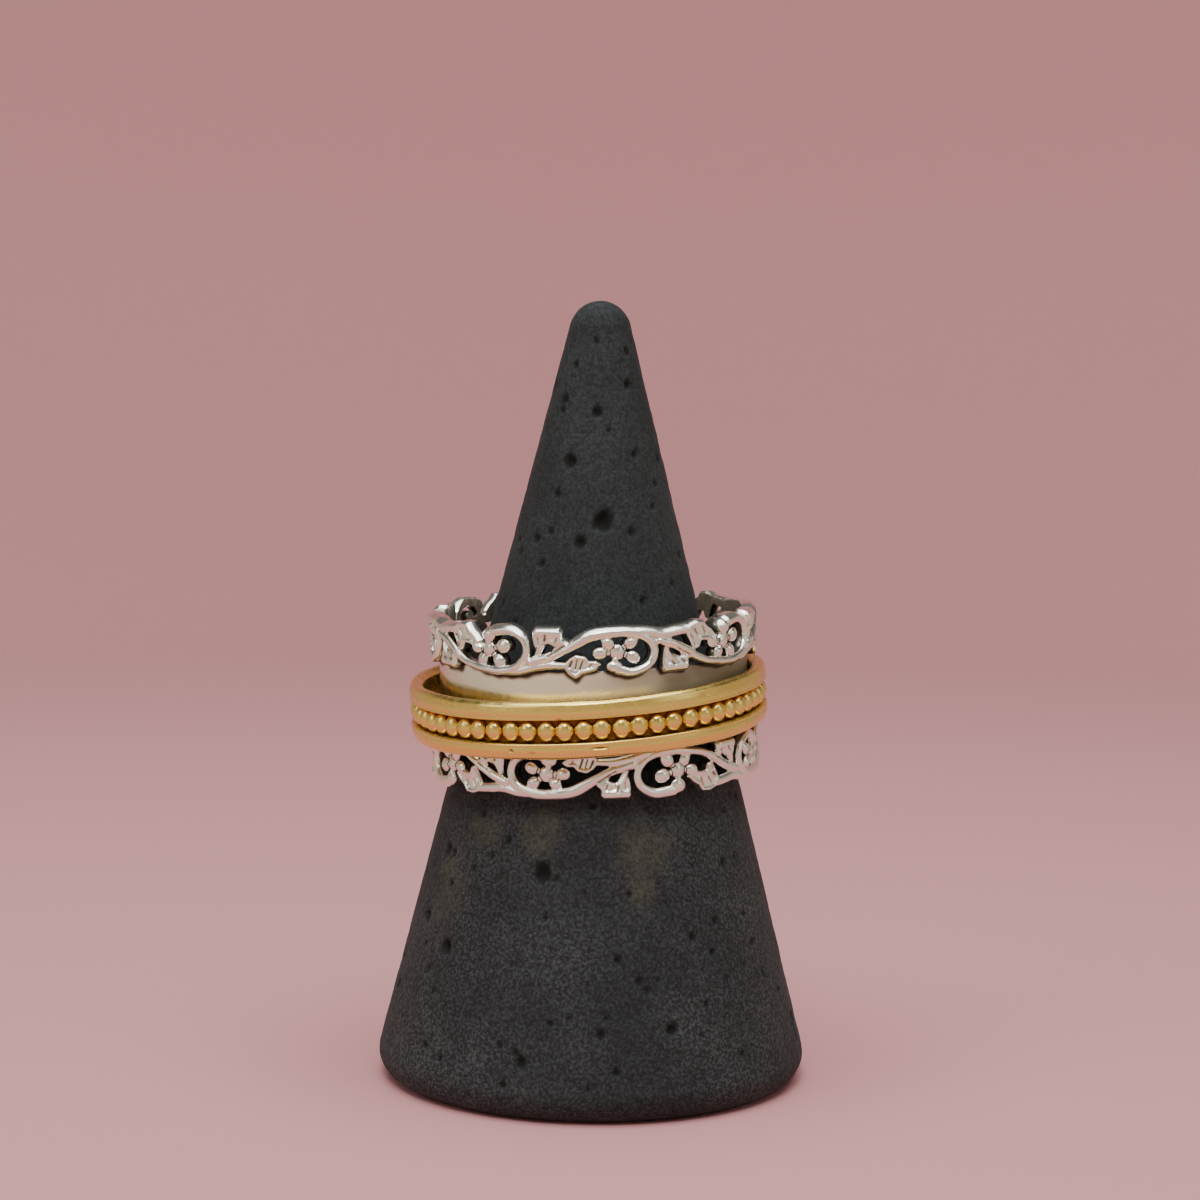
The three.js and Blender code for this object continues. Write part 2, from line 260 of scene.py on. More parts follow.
def handPolished(name, finish):
    # a metal polished by hand: its shine is cloudy, rubbing marks run over it, and its patina
    # darkens and dulls it, together with any painted shade laid into the same attribute
    material, (patinaAndShade, cloud, rubs) = newMaterial(name, ("patinaAndShade",), finish["noises"])
    colour = addNode(material, "Mix", {
        "data_type": "RGBA", 0: patinaAndShade, 6: finish["metal"], 7: finish["oxide"]})[2]
    rough = addNode(material, "MapRange", {
        "Value": cloud, "From Min": 0.3, "From Max": 0.7, "To Min": finish["bright"],
        "To Max": finish["worn"]})[0]
    dulled = addNode(material, "Math", {
        "operation": "MULTIPLY_ADD", 0: patinaAndShade, 1: finish["oxideDulls"], 2: rough})[0]
    metallic = 1.0
    if "oxideMetallic" in finish:
        metallic = addNode(material, "MapRange", {
            "Value": patinaAndShade, "To Min": 1.0, "To Max": finish["oxideMetallic"]})[0]
    rise = addNode(material, "Bump", {
        "Height": rubs, "Strength": finish["bump"], "Distance": finish["riseMm"] * mm})[0]
    shader = addNode(material, "BsdfPrincipled", {
        "Base Color": colour, "Roughness": dulled, "Metallic": metallic, "Normal": rise})[0]
    addNode(material, "OutputMaterial", {"Surface": shader})
    return material


cone = {
    "height": 45.9, "radius": 12.65, "baseFillet": 1.5, "tipRadius": 1.83,
    "baseRadii": (0.5, 4, 8, 10.3),
    "lowerColumns": 460, "upperColumns": 230, "fineStep": 0.16, "hiddenStep": 0.6,
    "hiddenFrom": 19.6, "hiddenTo": 25.4, "poreDepth": 0.42, "poreSteepness": 2.4,
    "scatteredPores": (
        # count, from turn, to turn, highest, span of height, narrowest, widest
        (150, -180, 180, 44, 42.5, 0.24, 0.52), (26, 75, 285, 44, 42, 0.55, 1.1)),
    "roughenBy": 0.03, "grainBy": 0.012, "stainStrength": 0.6,
    # the last is a painted sheen: the sides as the camera sees them are lightened
    "dustAbove": 0.35, "dustBelow": 0.55, "sheenAtSides": 0.5,
}

# the larger pores; turns are in degrees round from the front
conePores = np.array([
    # turn, height, width
    (-5.8, 43.6, 0.4), (46.8, 43.0, 0.5), (-36.2, 42.2, 0.4), (38.8, 41.1, 0.6),
    (-45.2, 40.2, 0.6), (-45.8, 39.6, 0.55), (-2.2, 39.5, 0.7), (10.0, 38.5, 0.4),
    (35.2, 37.1, 0.5), (-26.3, 36.7, 0.9), (54.5, 35.4, 0.4), (-34.2, 34.8, 0.5),
    (4.0, 33.3, 1.3), (24.5, 32.7, 0.5), (-11.8, 32.1, 0.8), (46.2, 34.1, 0.4),
    (-46.8, 32.2, 0.6), (-37.8, 30.8, 0.5), (-61.0, 31.3, 0.5), (27.5, 28.8, 0.5),
    (51.8, 29.7, 0.4), (-17.5, 13.7, 1.15), (-63.2, 14.1, 0.8), (-45.8, 16.5, 0.5),
    (-32.0, 15.3, 0.5), (-45.5, 13.5, 0.5), (-38.0, 14.3, 0.4), (-66.5, 10.1, 0.8),
    (-51.2, 8.9, 1.0), (7.8, 9.1, 0.5), (42.8, 10.8, 0.5), (59.8, 14.0, 0.5),
    (60.0, 9.1, 0.5), (35.0, 6.4, 0.45), (2.8, 5.1, 0.6), (23.0, 5.2, 0.8),
    (-18.8, 3.4, 0.8), (6.8, 3.1, 0.5), (14.0, 7.9, 0.5), (12.2, 12.7, 0.4),
    (-44.2, 2.9, 0.5), (-15.0, 11.3, 0.4),
])

# stains in the stone
coneStains = np.array([
    # turn, height, half width, half height
    (18.5, 15.3, 2.0, 1.6), (16.5, 13.2, 1.0, 1.6), (-20.5, 15.8, 1.3, 1.5), (-58, 12.0, 1.6, 2.4),
    (-44, 15.6, 1.4, 1.0), (140, 12, 2.2, 2.0), (-130, 9, 1.8, 2.4), (95, 33, 1.2, 1.8),
])


def coneProfile():
    # the outline from near the centre of the base to near the tip: a flat base, a quarter-round
    # edge, the straight side that touches both that edge and the tip's ball, and the ball
    fillet, tipRadius = cone["baseFillet"], cone["tipRadius"]
    edgeRadius, tipHeight = cone["radius"] - fillet, cone["height"] - tipRadius
    rise = tipHeight - fillet
    slope = math.atan2(edgeRadius, rise) + math.asin(
        (fillet - tipRadius) / math.hypot(edgeRadius, rise))
    edgeTurn = np.linspace(-math.pi / 2, slope, 18)
    edge = np.stack([edgeRadius + fillet * np.cos(edgeTurn),
                     fillet * (1 + np.sin(edgeTurn))], axis=-1)
    tipTurn = np.linspace(slope, math.pi / 2 - 0.05, 20)
    tip = np.stack([tipRadius * np.cos(tipTurn), tipHeight + tipRadius * np.sin(tipTurn)], axis=-1)
    heights = np.concatenate([
        np.arange(edge[-1, 1], cone["hiddenFrom"], cone["fineStep"])[1:],
        np.arange(cone["hiddenFrom"], cone["hiddenTo"], cone["hiddenStep"]),
        np.arange(cone["hiddenTo"], tip[0, 1] - 0.05, cone["fineStep"])])
    share = (heights - edge[-1, 1]) / (tip[0, 1] - edge[-1, 1])
    side = np.stack([edge[-1, 0] + (tip[0, 0] - edge[-1, 0]) * share, heights], axis=-1)
    base = np.array([(radius, 0) for radius in cone["baseRadii"]])
    return np.concatenate([base, edge, side, tip])


def coneSurface():
    # the outline turned about Z, with twice as many columns below the ring as above it
    profile, baseCount = coneProfile(), len(cone["baseRadii"])
    lowerColumns, upperColumns = cone["lowerColumns"], cone["upperColumns"]
    middle = (cone["hiddenFrom"] + cone["hiddenTo"]) / 2
    split = baseCount + int(np.searchsorted(profile[baseCount:, 1], middle))
    high = split * lowerColumns
    points = np.concatenate([turnedSection(profile[:split], lowerColumns),
                             turnedSection(profile[split:], upperColumns),
                             [(0, 0, 0), (0, 0, cone["height"])]])
    quads = np.concatenate([gridQuads(split, lowerColumns),
                            gridQuads(len(profile) - split, upperColumns) + high])
    # where the columns halve, each upper edge meets two lower ones in three triangles
    low, upper = high - lowerColumns, np.arange(upperColumns)
    nextUpper = (upper + 1) % upperColumns
    lowA, lowB, lowC = low + 2 * upper, low + 2 * upper + 1, low + 2 * nextUpper
    # the poles close the base and the tip
    bottomPole, topPole = len(points) - 2, len(points) - 1
    around, last = np.arange(lowerColumns), bottomPole - upperColumns
    triangles = [
        np.stack([lowA, lowB, high + upper], 1),
        np.stack([lowB, high + nextUpper, high + upper], 1),
        np.stack([lowB, lowC, high + nextUpper], 1),
        np.stack([0 * around + bottomPole, (around + 1) % lowerColumns, around], 1),
        np.stack([last + upper, last + nextUpper, 0 * upper + topPole], 1)]
    return points, quads, np.concatenate(triangles)


def coneAt(turn, height):
    # the place on the side at that turn in degrees and that height
    profile = coneProfile()[len(cone["baseRadii"]):]
    return roundRing(np.radians(turn), np.interp(height, profile[:, 1], profile[:, 0]), height)


def makeCone():
    # the surface is pushed inwards by the pores' wells, depth * (1 - share ** steepness) of each,
    # and by a slight unevenness
    points, quads, triangles = coneSurface()
    radius = np.hypot(points[:, 0], points[:, 1])
    inward = -points / np.maximum(radius, 0.3)[:, None]
    inward[:, 2] = -0.25
    inward[radius < 0.4] = 0
    scattered = [
        np.stack([draws.uniform(fromTurn, toTurn, count),
                  highest - span * np.sqrt(draws.uniform(0, 1, count)),
                  draws.uniform(narrow, wide, count)], axis=1)
        for count, fromTurn, toTurn, highest, span, narrow, wide in cone["scatteredPores"]]
    pores = np.concatenate([conePores, *scattered])
    wells, dark = np.zeros(len(points)), np.zeros(len(points))
    for centre, width in zip(coneAt(pores[:, 0], pores[:, 1]), pores[:, 2]):
        near = np.abs(points[:, 2] - centre[2]) < width
        share = np.linalg.norm((points[near] - centre) * (1, 1, 0.9), axis=1) / (width / 2)
        share *= 1 + 0.12 * waveNoise(points[near], 0.5, 5)
        well = np.clip(1 - share ** cone["poreSteepness"], 0, None)
        wells[near] = np.maximum(wells[near], well * width * cone["poreDepth"])
        # painted shade: each pore's well is coloured dark, darkest in its middle
        dark[near] = np.maximum(dark[near], 1 - smoothStep(0.5, 1.1, share))
    side = smoothStep(0.02, 1.2, points[:, 2]) * smoothStep(0, 1.5, radius)
    uneven = (cone["roughenBy"] * waveNoise(points, 3.5, 21)
              + cone["grainBy"] * waveNoise(points, 0.9, 22, 40))
    points = points + inward * ((wells + np.abs(uneven)) * side)[:, None]
    stain = np.zeros(len(points))
    for turn, height, halfWide, halfHigh in coneStains:
        angle = math.radians(turn)
        away = points - coneAt(turn, height)
        share = np.hypot(away @ (math.cos(angle), math.sin(angle), 0) / halfWide,
                         away[:, 2] / halfHigh)
        share += 0.3 * waveNoise(points, 1.6, 8)
        front = away @ (math.sin(angle), -math.cos(angle), 0) > -4
        stain = np.maximum(stain, (1 - smoothStep(0.4, 1.3, share)) * front)
    # pale dust lies in the grain, thicker below the ring; the left and right sides, as the camera
    # sees them, are lightened further by a painted sheen
    dustAndSheen = cone["dustAbove"] + cone["dustBelow"] * smoothStep(22, 9, points[:, 2]) * (
        0.75 + 0.25 * waveNoise(points, 5, 31))
    aside = np.abs(points[:, 0]) / np.maximum(radius, 1)
    dustAndSheen += cone["sheenAtSides"] * smoothStep(0.25, 0.7, aside) * smoothStep(20, 14, points[:, 2])
    attributes = {"poreShade": dark, "stain": stain * cone["stainStrength"], "dustAndSheen": dustAndSheen}
    piece = makePiece("stoneCone", points, quads, attributes, triangles)
    dress(piece, honedBasalt(), "stand", "ring_cone")


makeCone()

band = {"centre": (-0.1, -0.08, 23.1), "aboutX": 1.5, "aboutY": -1.9}

vine = {
    "innerRadius": 8.78, "outerRadius": 9.75, "midHeight": 3.52, "unitDegrees": 45,
    # name, side, degrees to the middle of a flower, seed
    "borders": (("upperVine", 1, 8.2, 41), ("lowerVine", -1, -16.3, 51)),
    "columns": 1040, "rows": 60, "halfSpan": 1.74, "backBevel": 0.06,
    "scrollTop": 0.97, "stemTop": 0.92, "flutedTop": 0.95, "leafTop": 0.9, "flowerTop": 0.88,
    "stemDome": 0.17, "leafDome": 0.16, "flowerDome": 0.19, "lipDome": 0.08,
    "fluteDepth": 0.1, "fluteSwing": 0.05, "flutesPerTurn": 14, "leafSunk": 0.1,
    "eyeRadius": 0.45, "petalStretch": 1.2, "petalRise": 0.03,
    "neckHalf": 0.19, "neckDrop": 0.13, "neckDome": 0.12,
    "rimWide": 0.32, "rimDrop": 0.2, "creaseWide": 0.07,
}

# The flat drawing of the border's pair of units. Turn is in degrees round from the flower's centre,
# up in mm from the border's middle, and half is half the stem's width. A cut is a line from one
# place to another, with half its width and its depth.
flutedLeaf = np.array([
    # turn, up
    (-28.5, -0.5), (-27.9, 0.1), (-28.7, 0.7), (-28.9, 1.16), (-28.0, 1.38), (-19.2, 1.38),
    (-18.2, 1.16), (-18.3, 0.78), (-16.1, 0.54), (-17.0, 0.1), (-24.0, -0.35),
])
uprightUnit = {
    "scroll": np.array([
        # turn, up, half
        (-29.4, -0.6, 0.3), (-22.8, -0.3, 0.24), (-20.2, -0.13, 0.23), (-17.4, 0.12, 0.25),
        (-12.5, 0.6, 0.33), (-7.6, 0.95, 0.33), (0.0, 1.08, 0.3), (6.0, 1.03, 0.29),
        (11.5, 0.61, 0.28), (13.4, -0.12, 0.24), (11.4, -0.82, 0.24), (5.8, -1.21, 0.24),
        (0.6, -1.05, 0.28),
    ]),
    "knob": np.array([(-0.7, -0.86, 0.46, 0.32)]),
    "stem": np.array([
        # turn, up, half
        (-41.0, -1.18, 0.24), (-34.0, -1.12, 0.25), (-28.0, -0.85, 0.28), (-22.4, -0.75, 0.23),
        (-17.0, -0.77, 0.2),
    ]),
    "leaf": np.array([
        # turn, up
        (-18.2, -0.75), (-16.2, -0.37), (-13.8, -0.13), (-10.6, -0.23), (-9.2, -0.5), (-7.0, -0.5),
        (-4.9, -0.7), (-7.1, -1.08), (-11.5, -1.26), (-13.8, -1.54), (-16.2, -1.3), (-17.6, -1.0),
    ]),
    "gap": np.array([
        # turn, up
        (-26.2, -0.2), (-25.0, 0.12), (-23.8, 0.42), (-22.4, 0.4), (-21.0, 0.22), (-23.0, 0.0),
    ]),
    "flower": np.array([(0.4, -0.07)]),
    "petals": np.array([
        # turn, up, half
        (5.2, 0.46, 0.35), (-2.8, 0.48, 0.35), (-5.6, -0.1, 0.35), (5.8, -0.38, 0.35),
        (-0.4, -0.5, 0.2),
    ]),
    "cuts": np.array([
        # turn, up, to turn, to up, half, depth
        (-16.0, -0.86, -15.0, -0.5, 0.05, 0.12), (-14.1, -0.98, -13.2, -0.42, 0.045, 0.11),
        (-12.5, -0.98, -11.4, -0.5, 0.05, 0.12), (-9.2, -0.82, -8.3, -0.68, 0.05, 0.1),
        (-23.4, -0.25, -17.6, 0.34, 0.05, 0.12), (-24.4, 0.62, -24.0, 0.95, 0.06, 0.12),
        (-20.7, 0.5, -20.1, 0.8, 0.05, 0.1), (-26.6, 0.4, -26.9, 0.75, 0.05, 0.09),
    ]),
}
upsideDownUnit = {
    "scroll": np.array([
        # turn, up, half
        (-29.5, -0.5, 0.25), (-24.0, -0.19, 0.26), (-20.0, 0.14, 0.26), (-16.0, 0.52, 0.24),
        (-13.0, 0.77, 0.23), (-10.0, 0.93, 0.22), (-3.0, 1.13, 0.24), (4.0, 1.17, 0.25),
        (10.5, 0.87, 0.23), (13.9, 0.1, 0.22), (12.8, -0.69, 0.25), (8.0, -1.16, 0.29),
        (1.2, -1.08, 0.33),
    ]),
    "knob": np.array([(-0.9, -0.85, 0.48, 0.4)]),
    "stem": np.array([
        # turn, up, half
        (-41.0, -1.1, 0.27), (-34.0, -1.03, 0.28), (-28.0, -0.85, 0.3), (-23.0, -0.93, 0.29),
        (-18.0, -1.0, 0.28),
    ]),
    "leaf": np.array([
        # turn, up
        (-19.4, -0.76), (-17.8, -0.3), (-16.0, 0.25), (-13.9, 0.18), (-12.9, -0.2), (-10.0, -0.18),
        (-7.3, 0.0), (-4.8, -0.42), (-7.3, -0.83), (-9.5, -1.05), (-11.2, -1.4), (-14.5, -1.43),
        (-18.4, -1.25),
    ]),
    "gap": np.array([
        # turn, up
        (-26.5, -0.12), (-24.8, 0.26), (-22.0, 0.53), (-20.6, 0.5), (-23.0, 0.16),
    ]),
    "flower": np.array([(-1.3, 0.0)]),
    "petals": np.array([
        # turn, up, half
        (3.0, 0.66, 0.38), (-4.1, 0.6, 0.35), (-6.8, -0.06, 0.35), (4.9, -0.22, 0.4),
        (-1.1, -0.48, 0.22),
    ]),
    "cuts": np.array([
        # turn, up, to turn, to up, half, depth
        (-17.6, -0.62, -16.5, -0.42, 0.05, 0.12), (-15.6, -0.92, -14.2, -0.62, 0.05, 0.12),
        (-16.3, -0.2, -15.7, 0.02, 0.045, 0.1), (-12.0, -1.06, -10.8, -0.62, 0.05, 0.11),
        (-23.2, 0.0, -17.8, 0.5, 0.045, 0.1), (-25.2, 0.75, -24.3, 0.92, 0.07, 0.12),
        (-21.2, 0.72, -20.2, 0.86, 0.06, 0.12),
    ]),
}


def flat(places):
    # turns in degrees, in the first column and in a cut's third, become lengths along the
    # border's outside
    scale = np.ones(places.shape[1])
    scale[[0, 2] if len(scale) == 6 else [0]] = math.radians(1) * vine["outerRadius"]
    return places * scale


def smoothLine(stations, steps=10):
    # a Catmull-Rom curve through the stations, with all their columns carried along it
    first, last = 2 * stations[0] - stations[1], 2 * stations[-1] - stations[-2]
    ends = np.concatenate([[first], stations, [last]])
    share = np.linspace(0, 1, steps, endpoint=False)[None, :, None]
    a, b, c, d = (ends[i:len(ends) - 3 + i, None, :] for i in range(4))
    curve = 0.5 * (2 * b + (c - a) * share + (2 * a - 5 * b + 4 * c - d) * share ** 2
                   + (3 * b - a - 3 * c + d) * share ** 3)
    return np.concatenate([curve.reshape(-1, stations.shape[1]), stations[-1:]])


def nearestOnLine(points, line):
    # the distance to the nearest point of a polyline, and the line's last column there
    start, along = line[:-1, :2], line[1:, :2] - line[:-1, :2]
    away = points[:, None, :] - start[None]
    share = np.clip((away * along).sum(-1) / np.maximum((along ** 2).sum(-1), 1e-12), 0, 1)
    gap = np.linalg.norm(away - share[..., None] * along, axis=-1)
    best = gap.argmin(axis=1)
    rows = np.arange(len(points))
    value = line[best, -1] + (line[best + 1, -1] - line[best, -1]) * share[rows, best]
    return gap[rows, best], value


def insideDistance(points, outline):
    # how far a point lies inside a closed outline, and negative outside it
    line = np.concatenate([outline, outline[:1]])
    gap = nearestOnLine(points, line)[0]
    start, end = line[:-1], line[1:]
    crosses = (start[None, :, 1] > points[:, 1:2]) != (end[None, :, 1] > points[:, 1:2])
    rise = np.where(end[:, 1] == start[:, 1], 1e-12, end[:, 1] - start[:, 1])
    crossing = start[:, 0] + (points[:, 1:2] - start[:, 1]) * ((end[:, 0] - start[:, 0]) / rise)
    inside = (crosses & (points[:, :1] < crossing)).sum(axis=1) % 2 == 1
    return np.where(inside, gap, -gap)


def domed(inside, half, top, drop):
    # a rounded section: top - drop * share squared, where share is 0 in the middle and 1 at the
    # edge, and falling away outside
    share = np.clip(1 - inside / half, 0, 1)
    return np.where(inside > 0, top - drop * share ** 2, top - drop + 2 * inside)


def unitField(points, unit):
    # one unit in its own flat frame: how far inside the metal each point is, the height of the
    # cast surface there, which is the highest of its parts, and how dark the oxide leaves it, in
    # the creases between parts and in the cuts
    parts = []
    for line, top in ((smoothLine(flat(unit["scroll"])), vine["scrollTop"]),
                      (smoothLine(flat(unit["stem"])), vine["stemTop"])):
        gap, half = nearestOnLine(points, line)
        parts.append((half - gap, domed(half - gap, half, top, vine["stemDome"])))
    knob = flat(unit["knob"])[0]
    inside = knob[3] * (1 - np.hypot(*((points - knob[:2]) / knob[2:]).T))
    parts.append((inside, domed(inside, knob[3], vine["scrollTop"], vine["stemDome"])))
    # the fluted leaf has a thick rolled lip along its flat top, and three flutes that fan out
    # under it from the leaf's foot
    outline = flat(flutedLeaf)
    inside = np.minimum(insideDistance(points, outline),
                        -insideDistance(points, flat(unit["gap"])))
    lip = smoothStep(0.74, 0.98, points[:, 1])
    fan = np.arctan2(points[:, 1] - outline[0, 1], points[:, 0] - outline[0, 0])
    flutes = vine["fluteDepth"] + vine["fluteSwing"] * np.cos(fan * vine["flutesPerTurn"])
    parts.append((inside, domed(inside, 0.26, vine["flutedTop"] - flutes * (1 - lip),
                                vine["leafDome"] + vine["lipDome"] * lip)))
    # the main stem's leaf has a raised rim round a sunk middle
    inside = insideDistance(points, flat(unit["leaf"]))
    sunk = vine["leafSunk"] * smoothStep(0.14, 0.28, inside)
    parts.append((inside, domed(inside, 0.18, vine["leafTop"], vine["leafDome"]) - sunk))
    # the flower: a domed eye, and a domed petal on a thick neck at each petal's place
    centre, flowerTop = flat(unit["flower"])[0], vine["flowerTop"]
    inside = vine["eyeRadius"] - np.hypot(*(points - centre).T)
    parts.append((inside, domed(inside, vine["eyeRadius"], flowerTop, vine["flowerDome"])))
    for turnAlong, upAlong, half in flat(unit["petals"]):
        reach = np.array([turnAlong, upAlong]) - centre
        length = np.hypot(*reach)
        ahead = ((points - centre) @ reach) / length - length
        aside = ((points - centre) @ np.array([-reach[1], reach[0]])) / length
        inside = half - np.hypot(ahead / vine["petalStretch"], aside)
        parts.append((inside, domed(inside, half, flowerTop + vine["petalRise"],
                                    vine["flowerDome"])))
        neck = vine["neckHalf"] - np.hypot(np.maximum(np.abs(ahead + 0.36) - 0.2, 0), aside)
        parts.append((neck, domed(neck, vine["neckHalf"], flowerTop - vine["neckDrop"],
                                  vine["neckDome"])))
    inside = np.max([part[0] for part in parts], axis=0)
    second, height = np.sort([part[1] for part in parts], axis=0)[-2:]
    oxide = smoothStep(vine["creaseWide"], 0.0, height - second) * smoothStep(0.83, 0.72, height)
    for cut in flat(unit["cuts"]):
        gap = nearestOnLine(points, cut[:4].reshape(2, 2))[0]
        well = 1 - smoothStep(cut[4] * 0.2, cut[4] * 1.8, gap)
        height = height - cut[5] * well
        oxide = np.maximum(oxide, well * min(1, cut[5] * 5))
    return inside, height, oxide


def vineField(points):
    # the border repeats in pairs: an upright unit, and an upside-down one half a pair further on
    pairLength = math.radians(2 * vine["unitDegrees"]) * vine["outerRadius"]
    inside, height = np.full((2, len(points)), -9.0)
    oxide = np.zeros(len(points))
    for unit, flip, start in ((uprightUnit, 1, 0), (upsideDownUnit, -1, pairLength / 2)):
        along = (points[:, 0] - start + pairLength * 0.6) % pairLength - pairLength * 0.6
        unitInside, unitHeight, unitOxide = unitField(
            np.stack([along, points[:, 1] * flip], axis=-1), unit)
        oxide = np.where((unitInside > -0.3) & (unitHeight > height), unitOxide, oxide)
        height = np.where(unitInside > -0.3, np.maximum(height, unitHeight), height)
        inside = np.maximum(inside, unitInside)
    return inside, height, oxide


def slopeOf(points, step=0.01):
    # how far inside the metal a point is, and the direction in which it gets further inside
    here = vineField(points)[0]
    right = vineField(points + (step, 0))[0] - here
    up = vineField(points + (0, step))[0] - here
    slope = np.stack([right, up], axis=-1) / step
    return here, slope / np.maximum(np.linalg.norm(slope, axis=1), 0.3)[:, None]


def meanStep(points, pairs, length):
    # the mean step from each point to its neighbours, across the border's seam as well
    gap = points[pairs[:, 1]] - points[pairs[:, 0]]
    gap[:, 0] = (gap[:, 0] + length / 2) % length - length / 2
    total, count = np.zeros_like(points), np.zeros(len(points))
    np.add.at(total, pairs[:, 0], gap)
    np.add.at(count, pairs[:, 0], 1)
    return total / np.maximum(count, 1)[:, None]


def vineSheet():
    # a grid over the flattened border, kept where it is inside the metal; its edge points are
    # drawn onto the outline
    columns, rows = vine["columns"], vine["rows"]
    length = 2 * math.pi * vine["outerRadius"]
    along = np.arange(columns) / columns * length
    up = np.linspace(-vine["halfSpan"], vine["halfSpan"], rows)
    points = np.stack(np.meshgrid(along, up, indexing="ij"), axis=-1).reshape(-1, 2)
    inside = vineField(points)[0].reshape(columns, rows)
    middle = (inside + np.roll(inside, -1, axis=0)) / 2
    column, row = np.nonzero(middle[:, 1:] + middle[:, :-1] > 0)
    here, following = column * rows + row, (column + 1) % columns * rows + row
    quads = np.stack([here, following, following + 1, here + 1], axis=1)
    # an edge that only one quad has is on the outline, with the metal on its left
    edges = np.concatenate([quads[:, [i, (i + 1) % 4]] for i in range(4)])
    keys = np.sort(edges, axis=1) @ np.array([columns * rows, 1])
    _, first, counts = np.unique(keys, return_index=True, return_counts=True)
    outline = edges[first[counts == 1]]
    # how far a place is below the border's free rim, where polishing reaches
    rimGap = (np.where(inside > 0, up, -9).max(axis=1)[:, None] - up).ravel()
    used = np.unique(quads)
    number = np.full(len(points), -1)
    number[used] = np.arange(len(used))
    points, rimGap, onEdge = points[used], rimGap[used], np.unique(number[outline])
    quads, edges, outline = number[quads], number[edges], number[outline]
    neighbours = np.concatenate([edges, edges[:, ::-1]])
    outlinePairs = np.concatenate([outline, outline[:, ::-1]])
    for _ in range(4):
        # relax the sheet, and its edge along the outline, and draw the edge back onto the outline
        moved = points + 0.35 * meanStep(points, neighbours, length)
        moved[onEdge] = (points + 0.35 * meanStep(points, outlinePairs, length))[onEdge]
        points = moved
        for _ in range(2):
            depth, slope = slopeOf(points[onEdge])
            points[onEdge] -= depth[:, None] * slope
    # how far the free rim is rounded off: (1 - inside / width) squared, where the rim is above
    inside, slope = slopeOf(points)
    facing = smoothStep(0.1, 0.7, -slope[:, 1]) * (1 - smoothStep(0.45, 0.8, rimGap))
    rounding = facing * np.clip(1 - inside / vine["rimWide"], 0, 1) ** 2
    return {"points": points, "quads": quads, "outline": outline, "onEdge": onEdge,
            "rimGap": rimGap[onEdge], "slope": slope[onEdge], "rounding": rounding}


def bentRound(flatPoints, radiusAbove):
    # a flat place on the border and its height above the inner radius, bent round the ring
    return roundRing(flatPoints[:, 0] / vine["outerRadius"], vine["innerRadius"] + radiusAbove,
                     flatPoints[:, 1])


def makeVine(name, side, flowerDegrees, seed, sheet, material):
    # the front sheet raised by the field's height, a wall down the outline in four steps, and a
    # back sheet on the inner radius; the upper border's free rim is rounded off
    points, outline, onEdge = sheet["points"], sheet["outline"], sheet["onEdge"]
    count = len(points)
    _, height, oxide = vineField(points)
    place = np.concatenate([points, height[:, None]], axis=1)
    height = (height - 0.012 * (1 + waveNoise(place, 0.8, seed))
              - 0.01 * (1 + waveNoise(place, 2.6, seed + 1)))
    if side > 0:
        height = height - vine["rimDrop"] * sheet["rounding"]
    height = np.clip(height, 0.3, vine["scrollTop"])
    number = np.full(count, -1)
    number[onEdge] = np.arange(len(onEdge))
    enclosed = smoothStep(0.12, 0.4, sheet["rimGap"])
    rings, patinas = [], []
    for share, dark in ((0.15, 0.0), (0.4, 0.55), (0.93, 1.0)):
        rings.append(bentRound(points[onEdge], height[onEdge] * (1 - share)))
        patinas.append(enclosed * dark)
    tucked = points.copy()
    tucked[onEdge] += sheet["slope"] * vine["backBevel"]
    allPoints = np.concatenate([bentRound(points, height), *rings, bentRound(tucked, 0 * height)])
    patinaAndShade = np.concatenate([oxide, *patinas, np.full(count, 0.12)])
    backStart = count + 3 * len(onEdge)
    levels = [outline, *(number[outline] + count + i * len(onEdge) for i in range(3)),
              outline + backStart]
    walls = [np.stack([low[:, 0], low[:, 1], high[:, 1], high[:, 0]], axis=1)
             for high, low in zip(levels[:-1], levels[1:])]
    quads = np.concatenate([sheet["quads"], *walls, sheet["quads"][:, ::-1] + backStart])
    if side < 0:
        # the lower border is the same casting turned over about Y
        allPoints = allPoints * (-1, 1, -1)
    turned = np.array(Matrix.Rotation(math.radians(flowerDegrees), 3, "Z"))
    allPoints = allPoints @ turned.T + (0, 0, side * vine["midHeight"])
    piece = makePiece(name, seated(allPoints, band), quads, {"patinaAndShade": patinaAndShade})
    dress(piece, material, "stand", "silver_band")


sleeve = {
    "innerRadius": 8.7, "outerRadius": 9.1, "halfHeight": 2.35, "edge": 0.09, "columns": 600,
    "coarseTo": 1.3, "coarseRows": 12, "fineFrom": 1.4, "fineStep": 0.05,
    "oxideShadeAbove": 1.35, "oxideShadeFrom": 0.15, "oxideShadeTo": 0.4, "handWorn": 0.012,
    # a painted dark reflection of the spinner's inside over the channel: where it comes and goes,
    # in degrees, and how dark it is
    "paintedReflectionComes": (-12, 40), "paintedReflectionGoes": (95, 130), "paintedReflectionDark": 0.76,
}


